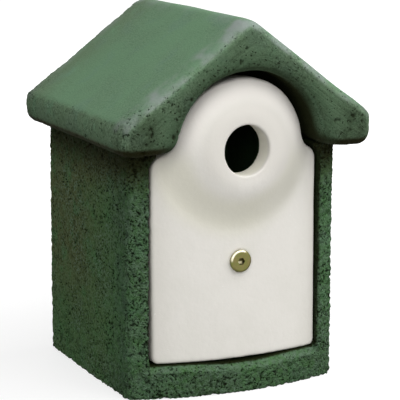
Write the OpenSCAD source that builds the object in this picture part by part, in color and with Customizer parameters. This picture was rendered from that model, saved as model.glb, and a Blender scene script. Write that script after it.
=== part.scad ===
// Nest box for small garden birds, cast in wood-concrete, with a lift-off front held by one bolt.
// X is the width, Y the depth with the front towards -Y, and Z is up. It stands on z = 0.
// The origin is under the middle of the whole box, so the roof reaches as far forward as back.

/* [Body] */
// Width of the body
body_w = 143; // [135:1:156]
// Depth of the body, from its front corners to its back
body_d = 136; // [120:1:170]
// Height of the walls
body_h = 153.8; // [152:0.2:160]
// How far the middle of the front bows ahead of its corners
front_bow = 13; // [8:1:16]
// Thickness of the side and back walls
wall = 18; // [15:1:20]
// Thickness of the floor
floor_t = 18; // [12:1:22]
// Radius of the upright edges
body_edge_r = 6; // [3:0.5:8]
// Radius of each drain hole in the floor
drain_r = 4; // [2:0.5:6]
// Distance of the drain holes from the walls of the nest room
drain_inset = 18; // [10:1:30]

/* [Front frame] */
// Width of the strip of body beside the panel
strip_w = 13; // [10:0.1:14.5]
// Height of the sill that the panel stands on
sill_h = 20.2; // [16:0.2:24]
// Bevel along the front edge of the sill
sill_bevel = 4; // [2:0.5:6]
// Height of the lip behind the foot of the panel
lip_h = 7; // [4:1:10]
// Gap all round the panel
panel_gap = 1.8; // [1:0.1:2.5]

/* [Roof] */
// Width of the roof across both eaves
roof_w = 170; // [164:1:174]
// Height of the ridge above the walls' top, before it is rounded
ridge_rise = 81.4; // [78:0.2:90]
// Slope of the roof in degrees
roof_slope = 36.5; // [34:0.5:38]
// Reach of the roof ahead of the front corners
over_front = 25.5; // [21:0.5:28]
// Reach of the roof behind the back wall
over_back = 10; // [9.5:0.5:20]
// Rounding of the ridge and the gable edges
roof_edge_r = 8; // [4:0.5:9]
// Rounding of the eaves
eave_r = 9; // [6:0.5:9]
// Radius of the arched vault under the roof
vault_r = 49; // [47:0.5:52]
// Rounding where the vault runs out into the eaves
foot_r = 9; // [5:0.5:9]
// Thickness of the mortar bed under the roof
bed_t = 1.5; // [1:0.1:3]
// Setback of the mortar from the body's faces
bed_inset = 1.2; // [0.5:0.1:3]

/* [Front panel] */
// Thickness of the panel
panel_t = 14; // [11:0.5:15]
// Depth of the panel's face behind the body's face
panel_recess = 3.5; // [2:0.5:5]
// Gap between the arched top of the panel and the vault
vault_gap = 5.5; // [3:0.5:7.5]
// Rounding of the panel's shoulders
shoulder_r = 9; // [5:0.5:10]
// Hollow rounding between shoulders and arch
neck_r = 14; // [8:0.5:16]
// Drop of the shoulder's centre below the top of the walls
shoulder_drop = 10.8; // [6:0.2:12]
// Rounding of the panel's bottom corners
foot_corner_r = 4; // [2:0.5:6]
// Reach of the dome ahead of the front corners
dome_reach = 19; // [15:0.1:20.5]
// Radius of the dome's flat face
dome_flat_r = 24; // [20:0.2:28]
// Rounding of the dome's edge
dome_round_r = 20; // [18:1:40]
// Radius at which the dome's rounding turns into a straight flank
dome_flank_r = 38; // [36:0.5:42]
// Radius of the bird's entrance
hole_r = 16; // [13:0.5:17]
// Height of the entrance's centre
hole_z = 155; // [153:0.5:158]
// Rounding of the entrance's rim
hole_edge_r = 0.5; // [0.5:0.5:3]
// Thickness of the dome at the entrance
hole_wall = 14.4; // [11:0.2:16]
// Radius of the hollow behind the dome
hollow_r = 30; // [22:1:34]
// Drop of the top climbing groove below the hollow
groove_drop = 4; // [3:0.5:6]
// Number of climbing grooves on the back
groove_n = 4; // [2:1:4]
// Pitch of the climbing grooves
groove_pitch = 7; // [5:0.5:7]
// Width and depth of a climbing groove
groove = 2.5; // [1:0.5:3]
// Length of a climbing groove
groove_l = 56; // [30:2:70]

/* [Panel bolt] */
// Height of the bolt
bolt_z = 84; // [76:1:88]
// Radius of the bolt's shank
bolt_r = 3; // [2.5:0.5:3.5]
// Length of the bolt under its head
bolt_l = 40; // [38:1:50]
// Radius of the bolt's head
head_r = 7.3; // [6:0.1:8.5]
// Thickness of the bolt's head
head_t = 2.4; // [1.8:0.1:3]
// Width of the bevel round the head
head_bevel = 1.6; // [0.8:0.1:2]
// Height of the bevel round the head
head_bevel_h = 1.1; // [0.5:0.1:1.6]
// Width of the hexagon socket across its flats
socket_af = 4; // [3:0.5:4.5]
// Depth of the hexagon socket
socket_depth = 3.2; // [2:0.1:4]
// Running clearance of the bolt in its bush and nut, on the radius
bolt_fit = 0.06; // [0.03:0.01:0.1]
// Wall of the bush round the bolt
bush_wall = 1.9; // [1.2:0.1:2.5]
// Thickness of the bush's flange
flange_t = 0.8; // [0.6:0.1:1.2]
// How far the flange stays inside the head's edge
flange_inset = 0.4; // [0.2:0.1:1]
// Width of the ring of bare spot face round the head
spot_margin = 0.7; // [0.3:0.1:1.5]
// Thickness of the retaining washer
retainer_t = 0.8; // [0.5:0.1:1.2]
// Width of the retaining washer's ring
retainer_w = 4.5; // [3:0.5:6]

/* [Crossbar] */
// Height of the crossbar
bar_h = 18; // [14:1:24]
// Thickness of the crossbar
bar_t = 3; // [2:0.5:4]
// Depth of the crossbar's ends in the walls
bar_grip = 12; // [8:1:13]
// Setback of the crossbar behind the front wall
bar_set = 2.5; // [2:0.5:6]
// Radial play of the bolt in the crossbar
bar_play = 0.5; // [0.3:0.1:1]
// Width of the nut across its flats
nut_af = 10; // [9:0.5:13]
// Thickness of the nut
nut_t = 5; // [4:0.5:6]

/* [Hanger] */
// Drop of the hanger's hole below the top of the walls
hanger_drop = 25.8; // [20:0.2:50]
// Length of the hanger
hanger_l = 76; // [64:1:90]
// Width of the hanger's strip
hanger_h = 20; // [16:1:26]
// Thickness of the hanger's strip
hanger_t = 2; // [1.5:0.5:3]
// Room behind the hanger for a nail's head
hanger_gap = 7.5; // [5:0.5:8]
// Width of the hanger's raised middle
hanger_bridge = 34; // [28:1:40]
// Sideways run of the hanger's sloping legs
hanger_leg = 3.7; // [2:0.1:4.5]
// Radius of the hanger's hole
hanger_hole_r = 3.5; // [2.5:0.5:5]
// Distance between the hanger's two screws
screw_pitch = 58; // [52:1:60]
// Radius of a hanger screw's shank
screw_r = 2; // [1.5:0.25:2.5]
// Play of a screw in the hanger, on the radius
screw_play = 0.25; // [0.1:0.05:0.4]
// Length of a hanger screw under its head
screw_l = 14; // [10:1:15]
// Radius of a hanger screw's head
screw_head_r = 4; // [3:0.25:4.5]
// Thickness of a hanger screw's head
screw_head_t = 2.2; // [1.5:0.1:3]
// Radius of a wall plug
plug_r = 4; // [3:0.25:5]
// Length of a wall plug
plug_l = 14.5; // [12:0.5:15]

/* [Hidden] */
$fn = 96;
// Facets of the large arcs of the front
arc_fn = 360;
// Facets of the rounded roof
roof_fn = 32;
// Flats along the bowed front, and round an upright edge
front_steps = 24;
edge_steps = 8;
// Steps of the dome's rounding
dome_steps = 7;
// How far a cut runs past the face that it cuts
past = 1;
// How far the dome's root reaches into the panel behind the entrance's wall
dome_root = 4;
// Gap that a loose part keeps from its seat
seat_gap = 0.3;
// How far the hollow rounding bites into the arch and the shoulder, so that they cross cleanly
neck_bite = 0.05;
// Gap under the head of the bolt
head_gap = 0.05;
// How far the eaves' rounding reaches below the flat underside that cuts it
roof_sink = 0.5;

green = [0.27, 0.37, 0.26];
roof_green = [0.36, 0.47, 0.37];
mortar_grey = [0.45, 0.47, 0.42];
cream = [0.86, 0.84, 0.80];
zinc_yellow = [0.62, 0.60, 0.36];
zinc = [0.72, 0.73, 0.74];
nylon = [0.88, 0.88, 0.84];

roof_d = over_front + body_d + over_back;
corner_y = over_front - roof_d / 2;
back_y = corner_y + body_d;
inner_y = corner_y + wall;
room_back_y = back_y - wall;
half_w = body_w / 2;
room_hw = half_w - wall;
seat_z = body_h + bed_t;
ridge_z = seat_z + ridge_rise;

// The bowed front, the panel's face and the panel's back are arcs about one upright axis
front_r = (half_w * half_w + front_bow * front_bow) / (2 * front_bow);
arc_y = corner_y - front_bow + front_r;
face_r = front_r - panel_recess;
back_r = face_r - panel_t;
face_y = arc_y - face_r;
panel_back_y = arc_y - back_r;

panel_hw = half_w - strip_w - panel_gap;
panel_z = sill_h + seat_gap;
arch_r = vault_r - vault_gap;
dome_y = corner_y - dome_reach;

// Centres of the shoulder's rounding and of the hollow above it, which touch each other and the arch
shoulder_x = panel_hw - shoulder_r;
shoulder_z = body_h - shoulder_drop;
shoulder_far = norm([shoulder_x, shoulder_z - hole_z]);
neck_far = arch_r + neck_r;
shoulder_turn = atan2(shoulder_z - hole_z, shoulder_x);
neck_cos = (neck_far ^ 2 + shoulder_far ^ 2 - (neck_r + shoulder_r) ^ 2) / (2 * neck_far * shoulder_far);
neck_turn = shoulder_turn + acos(neck_cos);
neck_x = neck_far * cos(neck_turn);
neck_z = hole_z + neck_far * sin(neck_turn);

groove_z = hole_z - hollow_r - groove_drop;
spot_y = face_y + flange_t;
bush_r = bolt_r + bolt_fit + bush_wall;
bar_y = inner_y + bar_set;
bar_hw = room_hw + bar_grip;
bridge_y = back_y + hanger_gap;
hanger_z = body_h - hanger_drop;

function mirror_x(p) = [-p[0], p[1]];

// Turns a shape drawn in X and Z and grown along its own Z into one that grows towards the front
module to_front(y) {
    translate([0, y, 0])
        rotate([90, 0, 0])
            children();
}

// A flat shape drawn in X and Z, from y0 back to y1
module slab(y0, y1) {
    to_front(y1)
        linear_extrude(height = y1 - y0)
            children();
}

module on_both_sides() {
    for (side = [-1, 1])
        scale_x(side)
            children();
}

module scale_x(side) {
    if (side < 0)
        mirror([1, 0, 0])
            children();
    else
        children();
}

// Points along an arc, from one angle to another
function arc_points(centre, r, from, to, steps) = [
    for (i = [0 : steps])
        centre + r * [cos(from + (to - from) * i / steps), sin(from + (to - from) * i / steps)]
];

// Plan of the body: a rectangle with a bowed front and rounded upright edges
module body_plan(inset = 0) {
    r = body_edge_r;
    cx = half_w - inset - r;
    arc_r = front_r - inset;
    far_y = back_y - inset;
    turn = asin(cx / (arc_r - r));
    cy = arc_y - (arc_r - r) * cos(turn);
    polygon(concat(
        arc_points([0, arc_y], arc_r, -90 - turn, turn - 90, front_steps),
        arc_points([cx, cy], r, turn - 90 + 90 / edge_steps, 0, edge_steps),
        arc_points([cx, far_y - r], r, 0, 90, edge_steps),
        arc_points([-cx, far_y - r], r, 90, 180, edge_steps),
        arc_points([-cx, cy], r, 180, 270 - turn - 90 / edge_steps, edge_steps)
    ));
}

// Outline of the panel seen from the front, grown outwards by a gap
module panel_outline(grow = 0) {
    hw = panel_hw + grow;
    low_z = panel_z - grow;
    corner_r = foot_corner_r + grow;
    arch = arch_r + grow;
    shoulder = shoulder_r + grow;
    neck = neck_r - grow;
    neck_dir = [cos(neck_turn), sin(neck_turn)];
    to_shoulder = [shoulder_x - neck_x, shoulder_z - neck_z] / (neck_r + shoulder_r);
    translate([-hw, low_z + corner_r])
        square([2 * hw, shoulder_z - low_z - corner_r]);
    translate([corner_r - hw, low_z])
        square([2 * (hw - corner_r), shoulder_z - low_z]);
    translate([0, hole_z])
        circle(r = arch);
    on_both_sides() {
        translate([hw - corner_r, low_z + corner_r])
            circle(r = corner_r);
        translate([shoulder_x, shoulder_z])
            circle(r = shoulder);
        difference() {
            polygon([
                [0, shoulder_z - shoulder_r],
                [shoulder_x, shoulder_z - shoulder_r],
                [shoulder_x, shoulder_z],
                [neck_x, neck_z] + neck * to_shoulder,
                [0, hole_z] + arch * neck_dir,
                [0, hole_z]
            ]);
            translate([neck_x, neck_z])
                circle(r = neck + neck_bite);
        }
    }
}

// Cut for the panel in the front of the body, back to just behind the panel
module panel_rebate() {
    difference() {
        slab(arc_y - front_r - past, inner_y + wall)
            difference() {
                panel_outline(panel_gap);
                translate([-half_w, 0])
                    square([body_w, sill_h]);
            }
        translate([0, arc_y, 0])
            cylinder(r = back_r - seat_gap, h = body_h + vault_r + past, $fn = arc_fn);
    }
}

module body_shell() {
    color(green)
        difference() {
            linear_extrude(height = body_h)
                body_plan();
            // nest room, and the doorway in front of it
            translate([-room_hw, inner_y, floor_t])
                cube([2 * room_hw, room_back_y - inner_y, body_h]);
            translate([-room_hw, corner_y - front_bow - past, sill_h + lip_h])
                cube([2 * room_hw, front_bow + wall + 2 * past, body_h]);
            panel_rebate();
            // bevel that lets water run off the sill
            intersection() {
                translate([0, arc_y, sill_h])
                    rotate_extrude($fn = arc_fn)
                        polygon([
                            [front_r - sill_bevel, past],
                            [front_r - sill_bevel, 0],
                            [front_r + past, -sill_bevel - past],
                            [front_r + past, past]
                        ]);
                translate([-panel_hw - panel_gap, corner_y - front_bow - past, 0])
                    cube([2 * (panel_hw + panel_gap), front_bow + wall, body_h]);
            }
            // pockets that hold the crossbar
            translate([-bar_hw, bar_y, bolt_z - bar_h / 2])
                cube([2 * bar_hw, bar_t, bar_h]);
            // drain holes
            for (x = [drain_inset - room_hw, room_hw - drain_inset])
                for (y = [inner_y + drain_inset, room_back_y - drain_inset])
                    translate([x, y, -past])
                        cylinder(r = drain_r, h = floor_t + 2 * past);
            plug_places()
                cylinder(r = plug_r, h = plug_l);
        }
}

module mortar_bed() {
    color(mortar_grey)
        translate([0, 0, body_h])
            linear_extrude(height = bed_t)
                difference() {
                    body_plan(bed_inset);
                    translate([-room_hw, corner_y - front_bow])
                        square([2 * room_hw, room_back_y - corner_y + front_bow]);
                    translate([-panel_hw - panel_gap, corner_y - front_bow])
                        square([2 * (panel_hw + panel_gap), front_bow + wall]);
                }
}

// The solid gable with its round ridge, eaves and gable edges
module roof_block() {
    nose_x = roof_w / 2 - eave_r;
    slope_cos = cos(roof_slope);
    ridge_c = ridge_z - roof_edge_r / slope_cos;
    nose_top = ridge_z - (nose_x * sin(roof_slope) + eave_r) / slope_cos;
    nose_low = seat_z + eave_r - roof_sink;
    hull()
        for (end = [-1, 1]) {
            for (x = [-nose_x, nose_x])
                for (z = [nose_low, max(nose_low, nose_top)])
                    translate([x, end * (roof_d / 2 - eave_r), z])
                        sphere(r = eave_r, $fn = roof_fn);
            translate([0, end * (roof_d / 2 - roof_edge_r), ridge_c])
                sphere(r = roof_edge_r, $fn = roof_fn);
        }
}

module roof() {
    color(roof_green)
        difference() {
            roof_block();
            // flat underside
            translate([-roof_w, -roof_d, seat_z - roof_d])
                cube([2 * roof_w, 2 * roof_d, roof_d]);
            // vault, closed at the back
            to_front(room_back_y)
                translate([0, hole_z, 0])
                    cylinder(r = vault_r, h = room_back_y + roof_d / 2 + past);
            // the vault's mouth runs out into the eaves in a round foot
            on_both_sides()
                slab(-roof_d / 2 - past, inner_y)
                    difference() {
                        translate([vault_r - foot_r, seat_z - past])
                            square([2 * foot_r, foot_r + past]);
                        translate([vault_r + foot_r, seat_z + foot_r])
                            circle(r = foot_r);
                    }
        }
}

// The dome round the entrance, as a turned shape whose face is at z = 0
module dome() {
    deep = hole_wall + dome_root;
    flank_run = dome_flank_r - dome_flat_r;
    flank_angle = asin(flank_run / dome_round_r);
    flank_drop = dome_round_r * (1 - cos(flank_angle));
    root_r = dome_flank_r + (deep - flank_drop) / tan(flank_angle);
    rotate_extrude()
        polygon(concat(
            [[0, -deep], [root_r, -deep]],
            arc_points([dome_flat_r, -dome_round_r], dome_round_r, 90 - flank_angle, 90, dome_steps),
            [[0, 0]]
        ));
}

module front_panel() {
    color(cream)
        difference() {
            union() {
                intersection() {
                    slab(arc_y - front_r - past, inner_y + wall)
                        panel_outline();
                    difference() {
                        translate([0, arc_y, 0])
                            cylinder(r = face_r, h = seat_z + vault_r, $fn = arc_fn);
                        translate([0, arc_y, -past])
                            cylinder(r = back_r, h = seat_z + vault_r + 2 * past, $fn = arc_fn);
                    }
                }
                intersection() {
                    slab(dome_y - past, inner_y)
                        panel_outline();
                    to_front(dome_y)
                        translate([0, hole_z, 0])
                            dome();
                }
            }
            // entrance, its round rim and the hollow behind the dome
            to_front(inner_y)
                translate([0, hole_z, 0])
                    cylinder(r = hole_r, h = inner_y - dome_y + past);
            to_front(dome_y)
                translate([0, hole_z, 0])
                    rotate_extrude()
                        difference() {
                            translate([hole_r - past, -hole_edge_r])
                                square([hole_edge_r + past, hole_edge_r + past]);
                            translate([hole_r + hole_edge_r, -hole_edge_r])
                                circle(r = hole_edge_r);
                        }
            to_front(inner_y)
                translate([0, hole_z, 0])
                    cylinder(r = hollow_r, h = inner_y - dome_y - hole_wall);
            // bolt hole, with a flat spot face for the head
            to_front(inner_y)
                translate([0, bolt_z, 0])
                    cylinder(r = bush_r, h = inner_y - face_y + past);
            to_front(spot_y)
                translate([0, bolt_z, 0])
                    cylinder(r = head_r + spot_margin, h = flange_t + past);
            // climbing grooves, of one depth along the curved back
            intersection() {
                for (i = [0 : groove_n - 1])
                    translate([-groove_l / 2, panel_back_y - panel_t, groove_z - i * groove_pitch])
                        cube([groove_l, 2 * panel_t, groove]);
                translate([0, arc_y, 0])
                    cylinder(r = back_r + groove, h = seat_z, $fn = arc_fn);
            }
        }
}

module bolt_bush() {
    color(nylon)
        difference() {
            union() {
                to_front(panel_back_y)
                    translate([0, bolt_z, 0])
                        cylinder(r = bush_r, h = panel_back_y - face_y);
                to_front(spot_y)
                    translate([0, bolt_z, 0])
                        cylinder(r = head_r - flange_inset, h = flange_t);
            }
            to_front(panel_back_y + past)
                translate([0, bolt_z, 0])
                    cylinder(r = bolt_r + bolt_fit, h = panel_back_y - face_y + 2 * past);
        }
}

module panel_bolt() {
    seat = face_y - head_gap;
    color(zinc_yellow)
        difference() {
            union() {
                to_front(seat + bolt_l)
                    translate([0, bolt_z, 0])
                        cylinder(r = bolt_r, h = bolt_l);
                to_front(seat)
                    translate([0, bolt_z, 0])
                        rotate_extrude()
                            polygon([
                                [0, 0],
                                [head_r, 0],
                                [head_r, head_t - head_bevel_h],
                                [head_r - head_bevel, head_t],
                                [0, head_t]
                            ]);
            }
            to_front(seat - head_t + socket_depth)
                translate([0, bolt_z, 0])
                    cylinder(r = socket_af / 2 / cos(30), h = socket_depth + past, $fn = 6);
        }
}

module bolt_retainer() {
    color(zinc)
        difference() {
            to_front(panel_back_y + seat_gap + retainer_t)
                translate([0, bolt_z, 0])
                    cylinder(r = bolt_r + retainer_w, h = retainer_t);
            to_front(panel_back_y + seat_gap + retainer_t + past)
                translate([0, bolt_z, 0])
                    cylinder(r = bolt_r, h = retainer_t + 2 * past);
        }
}

module crossbar() {
    color(zinc)
        difference() {
            translate([-bar_hw, bar_y, bolt_z - bar_h / 2])
                cube([2 * bar_hw, bar_t, bar_h]);
            to_front(bar_y + bar_t + past)
                translate([0, bolt_z, 0])
                    cylinder(r = bolt_r + bar_play, h = bar_t + 2 * past);
        }
}

module crossbar_nut() {
    color(zinc)
        difference() {
            to_front(bar_y + bar_t + nut_t)
                translate([0, bolt_z, 0])
                    cylinder(r = nut_af / 2 / cos(30), h = nut_t, $fn = 6);
            to_front(bar_y + bar_t + nut_t + past)
                translate([0, bolt_z, 0])
                    cylinder(r = bolt_r + bolt_fit, h = nut_t + 2 * past);
        }
}

// Puts a shape that grows along +Z into the back wall at both screws
module plug_places() {
    for (x = [-screw_pitch / 2, screw_pitch / 2])
        to_front(back_y)
            translate([x, hanger_z, 0])
                children();
}

module hanger_strap() {
    half_l = hanger_l / 2;
    half_b = hanger_bridge / 2;
    bend = [
        [half_b - hanger_t, bridge_y],
        [half_b - hanger_t + hanger_leg, back_y],
        [half_l, back_y],
        [half_l, back_y + hanger_t],
        [half_b + hanger_leg, back_y + hanger_t],
        [half_b, bridge_y + hanger_t]
    ];
    color(zinc)
        difference() {
            translate([0, 0, hanger_z - hanger_h / 2])
                linear_extrude(height = hanger_h)
                    polygon(concat(bend, [for (i = [1 : len(bend)]) mirror_x(bend[len(bend) - i])]));
            to_front(bridge_y + hanger_t + past)
                translate([0, hanger_z, 0])
                    cylinder(r = hanger_hole_r, h = hanger_t + 2 * past);
            for (x = [-screw_pitch / 2, screw_pitch / 2])
                to_front(back_y + hanger_t + past)
                    translate([x, hanger_z, 0])
                        cylinder(r = screw_r + screw_play, h = hanger_t + 2 * past);
        }
}

module hanger_screws() {
    head_y = back_y + hanger_t;
    color(zinc)
        for (x = [-screw_pitch / 2, screw_pitch / 2])
            difference() {
                union() {
                    to_front(head_y)
                        translate([x, hanger_z, 0])
                            cylinder(r = screw_r, h = screw_l);
                    to_front(head_y + screw_head_t)
                        translate([x, hanger_z, 0])
                            cylinder(r = screw_head_r, h = screw_head_t);
                }
                for (turn = [0, 90])
                    translate([x, head_y + screw_head_t, hanger_z])
                        rotate([0, turn, 0])
                            cube([screw_head_r, screw_head_t, screw_r / 2], center = true);
            }
}

module hanger_plugs() {
    color(nylon)
        difference() {
            plug_places()
                cylinder(r = plug_r, h = plug_l);
            plug_places()
                translate([0, 0, -past])
                    cylinder(r = screw_r, h = screw_l - hanger_t + past);
        }
}

body_shell();
mortar_bed();
roof();
front_panel();
bolt_bush();
panel_bolt();
bolt_retainer();
crossbar();
crossbar_nut();
hanger_strap();
hanger_screws();
hanger_plugs();
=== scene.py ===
# %% [markdown]
# # A nest box of cast wood-concrete
# The box has a rough green body, a smoother green roof and a cream front that one bolt holds.
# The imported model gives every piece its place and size. Here each piece gets its real surface.
# Everything is in metres, with the front towards -Y and the base on z = 0.

# %% Load the frame
import math

import bmesh
import bpy
import numpy as np
from mathutils import Matrix, Vector
from mathutils.kdtree import KDTree


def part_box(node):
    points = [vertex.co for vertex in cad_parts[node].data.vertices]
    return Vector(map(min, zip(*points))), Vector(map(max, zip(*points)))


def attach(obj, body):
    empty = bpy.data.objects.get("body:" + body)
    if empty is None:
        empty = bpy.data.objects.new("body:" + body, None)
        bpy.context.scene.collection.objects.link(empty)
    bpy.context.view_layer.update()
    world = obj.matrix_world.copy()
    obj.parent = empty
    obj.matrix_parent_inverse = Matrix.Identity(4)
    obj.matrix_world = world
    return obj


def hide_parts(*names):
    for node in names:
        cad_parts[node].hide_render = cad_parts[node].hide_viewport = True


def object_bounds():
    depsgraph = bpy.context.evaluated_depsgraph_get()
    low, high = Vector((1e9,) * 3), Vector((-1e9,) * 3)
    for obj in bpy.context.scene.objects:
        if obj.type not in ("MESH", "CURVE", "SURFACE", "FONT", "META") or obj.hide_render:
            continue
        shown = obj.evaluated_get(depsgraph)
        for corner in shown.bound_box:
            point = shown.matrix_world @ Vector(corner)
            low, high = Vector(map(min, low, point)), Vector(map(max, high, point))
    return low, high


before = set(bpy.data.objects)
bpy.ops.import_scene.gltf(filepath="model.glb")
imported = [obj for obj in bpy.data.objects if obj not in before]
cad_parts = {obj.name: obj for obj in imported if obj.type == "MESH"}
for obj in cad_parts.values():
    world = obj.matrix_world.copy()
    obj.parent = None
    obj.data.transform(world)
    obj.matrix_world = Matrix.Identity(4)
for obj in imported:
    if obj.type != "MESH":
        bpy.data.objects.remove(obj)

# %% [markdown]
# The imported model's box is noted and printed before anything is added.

cad_low, cad_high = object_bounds()
scene = bpy.context.scene
MM = 0.001
print("model box, mm:", [round(v / MM, 1) for v in (*cad_low, *cad_high)])

# %% [markdown]
# ## Camera
# The photo was taken from the front left and a little above, with a long lens. A camera can be moved
# by hand until its view looks right. Here two angles, a small tilt, a distance and the point that it
# looks at were fitted to the edges in the photo, so they are written down.

# %% Set the camera
YAW = math.radians(25.41)
PITCH = math.radians(11.39)
ROLL = math.radians(0.29)
CAMERA_DISTANCE = 1177.7 * MM
LOOK_AT = Vector((7.05 * MM, 3.0 * MM, 108.33 * MM))
LENS_MM, SENSOR_MM = 162.0, 36.0


def add_object(name, data):
    """A new object at the origin."""
    made = bpy.data.objects.new(name, data)
    scene.collection.objects.link(made)
    return made


back = Vector((-math.sin(YAW) * math.cos(PITCH), -math.cos(YAW) * math.cos(PITCH), math.sin(PITCH)))
level = (-back).cross(Vector((0, 0, 1))).normalized()
upright = level.cross(-back)
right = level * math.cos(ROLL) + upright * math.sin(ROLL)
up = upright * math.cos(ROLL) - level * math.sin(ROLL)
camera = add_object("camera", bpy.data.cameras.new("camera"))
camera.data.lens = LENS_MM
camera.data.sensor_width = SENSOR_MM
camera.data.clip_start = 50 * MM
stand = Matrix((right, up, back)).transposed().to_4x4()
stand.translation = LOOK_AT + back * CAMERA_DISTANCE
camera.matrix_world = stand
scene.camera = camera
print("camera at", [round(v, 3) for v in camera.location])

# %% [markdown]
# ## Node trees
# Materials and Geometry Nodes are both trees of nodes. They can be wired by hand in the editor. Here
# a small class adds a node, sets it and links it, so that each finish below reads as a list of steps.
# The same steps work in both kinds of tree, so relief and colour can follow one rule.

# %% Helpers for node trees
class NodeSteps:
    """Builds a node tree step by step. Most steps give the socket that holds their result."""

    def __init__(self, tree):
        self.tree = tree

    def feed(self, made, inputs):
        """Links a node's inputs to sockets, or sets them to plain values."""
        for name, value in inputs.items():
            if isinstance(value, bpy.types.NodeSocket):
                self.tree.links.new(value, made.inputs[name])
            else:
                made.inputs[name].default_value = value

    def add(self, kind, inputs=None, **settings):
        """A node with its settings and its inputs."""
        made = self.tree.nodes.new(kind)
        for key, value in settings.items():
            setattr(made, key, value)
        self.feed(made, inputs or {})
        return made

    def math(self, operation, a, b=0.0):
        """The result of one sum on numbers."""
        return self.add("ShaderNodeMath", {0: a, 1: b}, operation=operation).outputs[0]

    def product(self, *factors):
        """Numbers multiplied together."""
        result = factors[0]
        for factor in factors[1:]:
            result = self.math("MULTIPLY", result, factor)
        return result

    def ramp(self, value, low, high, to_low=0.0, to_high=1.0):
        """A smooth step of a value from one level to another."""
        made = self.add("ShaderNodeMapRange", {
            "Value": value, "From Min": low, "From Max": high, "To Min": to_low, "To Max": to_high,
        }, interpolation_type="SMOOTHSTEP")
        return made.outputs[0]

    def vector(self, operation, a, b=(0, 0, 0), scale=1.0):
        """The result of one sum on vectors."""
        made = self.add("ShaderNodeVectorMath", {0: a, 1: b, 3: scale}, operation=operation)
        return made.outputs["Value" if operation == "LENGTH" else "Vector"]

    def joined(self, x=0.0, y=0.0, z=0.0):
        """A vector made of three numbers."""
        return self.add("ShaderNodeCombineXYZ", {0: x, 1: y, 2: z}).outputs[0]

    def parts(self, vector):
        """The three numbers in a vector."""
        return self.add("ShaderNodeSeparateXYZ", {0: vector}).outputs

    def noise(self, place, size, detail=3.0, roughness=0.5, output=0):
        """A noise whose blobs are about this size."""
        scale = self.math("DIVIDE", 1.0, size) if isinstance(size, bpy.types.NodeSocket) else 1 / size
        made = self.add("ShaderNodeTexNoise", {
            "Vector": place, "Scale": scale, "Detail": detail, "Roughness": roughness,
        })
        return made.outputs[output]

    def kept(self, label, output="Fac"):
        """What a mesh keeps for each point under this name, read by a material."""
        return self.add("ShaderNodeAttribute", attribute_name=label).outputs[output]

    def object_place(self):
        """The place on the piece itself, read by a material."""
        return self.add("ShaderNodeTexCoord").outputs["Object"]

    def paint(self, colour, *layers):
        """A colour under layers, each of which is a share and a colour."""
        for share, tint in layers:
            made = self.add("ShaderNodeMix", {0: share, 6: colour, 7: tint}, data_type="RGBA")
            colour = made.outputs[2]
        return colour

    def bump(self, height, distance):
        """The facing of a surface that is bumpy by a height."""
        return self.add("ShaderNodeBump", {"Height": height, "Distance": distance}).outputs[0]


def empty_tree(owner):
    """The steps for the tree of a material or a world, with nothing in it yet."""
    owner.use_nodes = True
    owner.node_tree.nodes.clear()
    return NodeSteps(owner.node_tree)


def new_material(name):
    """A material, the steps for its tree, and its Principled shader."""
    material = bpy.data.materials.new(name)
    make = empty_tree(material)
    shader = make.add("ShaderNodeBsdfPrincipled")
    make.add("ShaderNodeOutputMaterial", {"Surface": shader.outputs[0]})
    return material, make, shader


# %% [markdown]
# ## Light, floor and background
# Soft lamps high in front stand for the studio lights, with the strongest at the upper right, so
# that eaves and pits throw shadows downwards. One lamp behind keeps the back readable. More
# light could whiten the background, but it would bleach the box too. So the camera and reflections
# see white there, while the lamps and a dim world light the object. The floor is white in the same
# way and still takes the shadow.

# %% Light the stage
AMBIENT = 0.15
LAMP_SIZE = 1.0
LAMPS = {
    "upper right": {"place": (1.1, -0.2, 1.5), "power": 17.0},
    "front left": {"place": (-1.0, -1.4, 0.9), "power": 12.7},
    "front right": {"place": (1.1, -1.3, 0.9), "power": 7.6},
    "upper front": {"place": (0.0, -1.0, 1.6), "power": 12.0},
    "behind": {"place": (0.5, 1.8, 1.0), "power": 9.0},
}
WHITE = (1, 1, 1, 1)


def add_lamp(name, place, power):
    """A square area lamp that points at the middle of the box."""
    lamp = bpy.data.lights.new(name, "AREA")
    lamp.size = LAMP_SIZE
    lamp.energy = power
    towards = Vector((0, 0, cad_high.z / 2)) - Vector(place)
    turn = towards.to_track_quat("-Z", "Y").to_matrix().to_4x4()
    add_object(name, lamp).matrix_world = Matrix.Translation(place) @ turn


def sees_background(make):
    """One for camera, glossy and transmission rays, and nought for the rays that carry light."""
    path = make.add("ShaderNodeLightPath").outputs
    seen = make.math("MAXIMUM", path["Is Camera Ray"], path["Is Glossy Ray"])
    return make.math("MAXIMUM", seen, path["Is Transmission Ray"])


for lamp_name, lamp_values in LAMPS.items():
    add_lamp(lamp_name, **lamp_values)

world = bpy.data.worlds.new("white studio")
sky_steps = empty_tree(world)
strength = sky_steps.ramp(sees_background(sky_steps), 0.0, 1.0, AMBIENT, 1.0)
sky = sky_steps.add("ShaderNodeBackground", {"Color": WHITE, "Strength": strength})
sky_steps.add("ShaderNodeOutputWorld", {"Surface": sky.outputs[0]})
scene.world = world
scene.view_settings.view_transform = "Standard"
print("lamps:", ", ".join(LAMPS))

# %% Lay the floor
FLOOR_SIZE = 40.0
FLOOR_GREY = (0.35, 0.35, 0.35, 1)
NEAR, FAR = 0.2, 0.9
LIFT_NEAR, LIFT_FAR = 0.72, 1.0


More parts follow.
